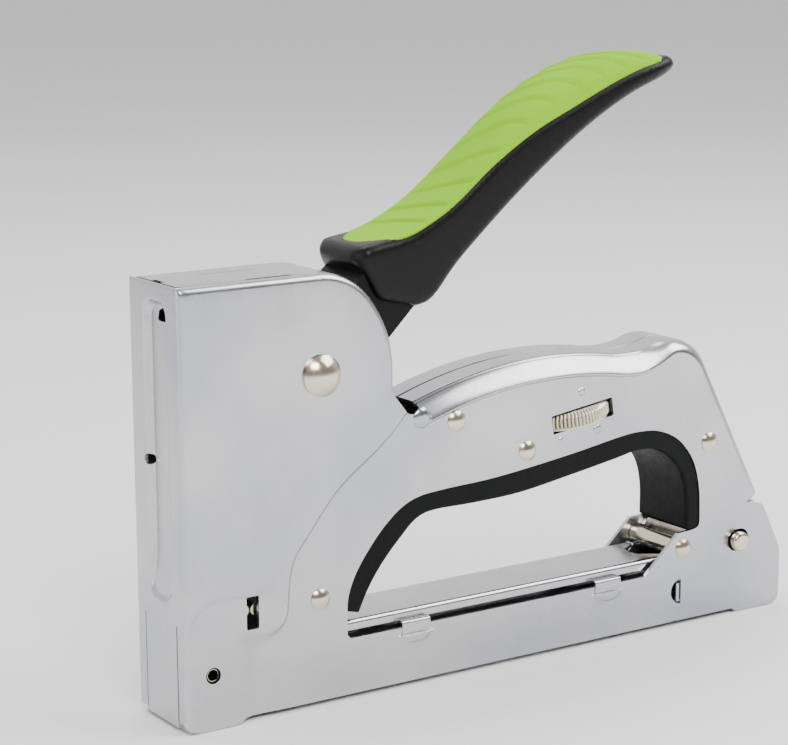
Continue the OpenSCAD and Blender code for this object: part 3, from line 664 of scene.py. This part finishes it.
def knurled_wheel(ridges=80, radius=14.75, root=14.2):
    """A wheel with rounded ridges round its middle, a chamfer above and a plain rim below."""
    tilt = math.radians(WHEEL_TILT)
    out = Vector((math.cos(tilt), 0, math.sin(tilt)))
    up = Vector((-math.sin(tilt), 0, math.cos(tilt)))
    levels = [(-2.35, 3.2, 0), (-2.35, 14.1, 0), (-2.25, 14.45, 0), (-1.75, 14.5, 0), (-1.6, 14.3, 0),
              (-1.5, root, 1), (0.9, root, 1), (1.25, 14.05, 1), (2.1, 13.2, 0.4), (2.35, 12.8, 0),
              (2.35, 3.2, 0)]
    centre = Vector((WHEEL_AT[0], 0, WHEEL_AT[1]))
    rows = []
    for h, r, ridge in levels:
        row = []
        for k in range(ridges * 6):
            a = 2 * math.pi * k / (ridges * 6)
            tooth = abs(math.sin(math.pi * k / 6)) ** 0.6
            q = r + ridge * (radius - root) * tooth - ridge * 0.35 * (1 - tooth)
            row.append(centre + out * q * math.cos(a) + Vector((0, 1, 0)) * q * math.sin(a) + up * h)
        rows.append(row)
    return Shape().grid(rows + rows[:1], wrap=True)


piece("force_wheel", knurled_wheel(), "wheel", WHEEL, ["thumbwheel"],
      ((129, -14.7, 68), (0, -1, 0)), sharp=50, weld=0.001)


# ---- Handle -------------------------------------------------------------------------------

GRIP_TOP = curve([[55, 121.6], [59, 122.8], [69.5, 124.5], [77, 127.5], [85.8, 132.5], [98.7, 142.3],
                  [112, 150.3], [125.3, 156.3], [139.3, 162.3], [150, 166], [160, 168]], 8)
GRIP_UNDER = curve([[161.6, 163.4], [157.5, 162], [146.3, 158], [132.3, 150.6], [118.7, 141.6],
                    [105.3, 131.5], [92.2, 120.5], [85.8, 114.6], [80.5, 108.6], [77, 105.9], [73.2, 105]], 8)
PAD_TOP = curve([[61, 124.3], [70, 126.6], [80, 131], [90, 137.6], [100, 147], [108, 154.6], [118, 161.6],
                 [129, 166.6], [140, 169.4], [150, 170.2], [158, 169.6], [165.5, 167.4]], 8)


def grip_half(x):
    """Half width of the grip; it narrows to a rounded tip and a little at its front."""
    tip = np.clip(1 - np.clip((x - 146) / 22, 0, 1) ** 3, 0.02, 1) ** 0.45
    return 12 * tip * (1 - 0.22 * smooth((60 - x) / 6) ** 2)


GRIP_TIP = [[161.2, 168], [163, 167.3], [164, 165.8], [163.3, 164.2]]
GRIP_FRONT = [[70.6, 105.7], [66, 106.6], [62.4, 107.6], [60.9, 108.6], [59.2, 111.6], [57.9, 114.2],
              [56, 116.4], [54.9, 117.8], [54.4, 119.2], [54.6, 120.5], [55.5, 121.6], [56.9, 122.4]]
grip_line = np.vstack([GRIP_TOP[8:], GRIP_TIP, GRIP_UNDER, GRIP_FRONT])
grip = pillow(spaced(grip_line, 1.4, True), lambda p: grip_half(p[:, 0]), 2.6, grid=3.2)
piece("grip_body", grip, "handle", BLACK, ["handle_grip"], ((100, -12, 135), (0, -1, 0)))


def height(line, x):
    """Height of a side-view curve at x."""
    return np.interp(x, line[:, 0], line[:, 1])


def pad_surface(columns=430, rows=41, pitch=7.5):
    """The pad's crown, with grooved steps across it that face the front and fade out before the near edge."""
    s = Shape()
    loops = []
    for t in np.linspace(0, 1, columns):
        line, under = [], []
        for v in np.linspace(-1, 1, rows):
            x0 = 58.4 + 8.5 * abs(v) ** 2.6
            x1 = 161.8 - 5.5 * abs(v) ** 2.8
            x = x0 + (x1 - x0) * t
            half = (grip_half(x) - 0.3) * (1 - 0.14 * math.exp(-((x - 56) / 11) ** 2))
            base = height(GRIP_TOP, x) if x < 160 else 168 - (x - 160) * 0.12
            crown = max(height(PAD_TOP, x) - base, 0.3) - 0.5
            front = math.sqrt(smooth((x - x0) / 5)) * 0.9 + 0.1
            end = math.sqrt(smooth((x1 - x) / 5)) * 0.9 + 0.1
            arch = max(0, 1 - abs(v) ** 2.4) ** 0.6
            place = x + (4 + 9 * smooth((x - 80) / 60)) * v - 72.8
            part = place / pitch % 1
            step = 0.5 * (1 - part) ** 1.5 * min(1, part / 0.08)
            step -= 0.6 * math.exp(-((part - 0.95) / 0.05) ** 2)
            step *= smooth((v + 0.96) / 0.14) * smooth((0.95 - v) / 0.5) * smooth((place + 2) / 1.6)
            step *= smooth((73 - place) / 5)
            line.append((x, v * half, base - 0.2 + crown * arch * front * end + step))
            under.append((x, v * half * 0.98, base - 0.8))
        loops.append(line + under[::-1])
    return s.grid(loops, wrap=True, caps=True)


piece("grip_pad", pad_surface(), "handle", GREEN, ["handle_pad"], ((110, 0, 158), (0, 0, 1)),
      sharp=70, weld=0.001)


# ---- Hand hole liner and magazine cover ---------------------------------------------------

def run_length(line):
    """Distance along a line at each of its points."""
    return np.concatenate([[0], np.cumsum(np.linalg.norm(np.diff(line, axis=0), axis=1))])


def liner():
    """A strip between the hand hole's edge and the line of its inner face, rounded at both sides."""
    rows = []
    half, r = 11.3, 1.3
    lo, li = run_length(HOLE_TOP), run_length(LINER)
    for t in np.linspace(0, 1, 110):
        a = np.array([np.interp(t * lo[-1], lo, HOLE_TOP[:, k]) for k in (0, 1)])
        b = np.array([np.interp(t * li[-1], li, LINER[:, k]) for k in (0, 1)])
        d = (b - a) / max(np.linalg.norm(b - a), 1e-6)
        a = a - d * 1.2
        row = []
        for y in (-1, 1):
            arc = [(y * (half - r + r * math.sin(q)), b - d * (r - r * math.cos(q)))
                   for q in np.linspace(math.pi / 2, 0, 5)]
            edge = [(y * (half - 1), a), (y * (half - 1), a + d * 1.25), (y * half, a + d * 1.3)] + arc
            row += edge if y < 0 else edge[::-1]
        rows.append([(p[0], y, p[1]) for y, p in row])
    return Shape().grid(rows, wrap=True, caps=True)


piece("hand_liner", liner(), "body", RUBBER, ["grip_liner"], ((110, 0, 49), (0, 0, -1)))


def cover():
    """The fixed magazine cover: a folded strip with a rounded notch at its rear; its two tabs a side are made
    below.
    """
    s = Shape()
    front, rear, half, top, r, notch = 20, 163, 9.5, 21.1, 1.3, 6.5
    across = [(-half, 18.2)]
    across += [(-half + r - r * math.cos(a), top - r + r * math.sin(a))
               for a in np.linspace(0, math.pi / 2, 5)]
    across += [(-notch - 0.1, top), (-3.3, top), (0, top)]
    across += [(-y, z) for y, z in across[-2::-1]]
    rows = []
    for t in np.linspace(0, 1, 60):
        row = []
        for y, z in across:
            end = rear - math.sqrt(max(0, notch**2 - y * y))
            row.append((front + (end - front) * t, y, z))
        rows.append(row)
    s.grid(rows)
    return s


piece("cover_top", cover(), "body", STEEL, ["magazine_cover"], ((90, 0, 21), (0, 0, 1)),
      1, 0.1)
tabs = Shape()
TAB_BEND = [(9.3, 18.6), (11, 18.6), (11.5, 18.5), (11.85, 18.2), (12, 17.7), (12, 14.3)]
for x in TABS:
    for y in (-1, 1):
        tabs.grid([[(x + k, y * q, z) for k in (-TAB_HALF, TAB_HALF)] for q, z in TAB_BEND])
piece("cover_tabs", tabs, "body", STEEL, outward=((72, -12, 15), (0, -1, 0)), sheet=0.8,
      bevel=0.1)


# ---- CAD nodes that are shown -------------------------------------------------------------

shown = {s["node"]: s["material_slot"] for s in frame["record"]["subparts"]}
for name, o in frame["nodes"].items():
    if o.hide_render:
        continue
    o.data.materials.clear()
    o.data.materials.append(SLOTS[shown[name]])
    if shown[name] != "spring_steel":
        finish_edges(o, 0.15)


# ---- Stage, light and camera --------------------------------------------------------------

floor_mesh = bpy.data.meshes.new("floor")
floor_mesh.from_pydata([(x, y, -0.0002) for x, y in ((-6, -6), (6, -6), (6, 6), (-6, 6))], [], [(0, 1, 2, 3)])
floor_mesh.materials.append(FLOOR)
floor = bpy.data.objects.new("floor", floor_mesh)
bpy.context.scene.collection.objects.link(floor)

world = bpy.data.worlds.new("studio")
bpy.context.scene.world = world
world.use_nodes = True
tree = world.node_tree
tree.nodes["Background"].inputs["Color"].default_value = (1, 1, 1, 1)
direction = tree.nodes.new("ShaderNodeTexCoord")
split = tree.nodes.new("ShaderNodeSeparateXYZ")
tree.links.new(direction.outputs["Generated"], split.inputs["Vector"])
across = tree.nodes.new("ShaderNodeMapRange")
across.inputs["From Min"].default_value, across.inputs["From Max"].default_value = -0.6, 0.6
across.inputs["To Min"].default_value, across.inputs["To Max"].default_value = 0.22, 1.3
tree.links.new(split.outputs["Y"], across.inputs["Value"])
tree.links.new(across.outputs["Result"], tree.nodes["Background"].inputs["Strength"])


def lamp(name, at, to, size, power):
    """A soft rectangular lamp that points at a place."""
    data = bpy.data.lights.new(name, "AREA")
    data.shape, data.size, data.size_y, data.energy = "RECTANGLE", size[0], size[1], power
    o = bpy.data.objects.new(name, data)
    o.location = at
    o.rotation_mode = "QUATERNION"
    o.rotation_quaternion = (Vector(to) - Vector(at)).to_track_quat("-Z", "Y")
    bpy.context.scene.collection.objects.link(o)


lamp("key", (-0.35, -0.95, 0.85), (0.1, -0.3, 0), (0.6, 0.5), 12)
lamp("shoulder", (0.75, -0.45, 0.9), (0, 0, 0.08), (0.9, 0.7), 14)
lamp("left", (-1.1, -0.1, 0.3), (0, 0, 0.08), (0.5, 0.8), 2.5)
lamp("top", (0, 0.5, 1.3), (0, 0, 0.08), (1, 0.5), 9)

camera_data = bpy.data.cameras.new("camera")
camera_data.lens, camera_data.sensor_width = 104.9, 36
camera_data.clip_start, camera_data.clip_end = 0.01, 50
camera = bpy.data.objects.new("camera", camera_data)
bpy.context.scene.collection.objects.link(camera)
yaw, pitch, roll = (math.radians(a) for a in (33.465, 11.431, -0.334))
forward = Vector((math.sin(yaw) * math.cos(pitch), math.cos(yaw) * math.cos(pitch), -math.sin(pitch)))
right = Vector((math.cos(yaw), -math.sin(yaw), 0))
up = right.cross(forward)
right, up = right * math.cos(roll) + up * math.sin(roll), up * math.cos(roll) - right * math.sin(roll)
camera.matrix_world = Matrix((
    (right.x, up.x, -forward.x, -0.3682), (right.y, up.y, -forward.y, -0.5116),
    (right.z, up.z, -forward.z, 0.2093), (0, 0, 0, 1)))
bpy.context.scene.camera = camera
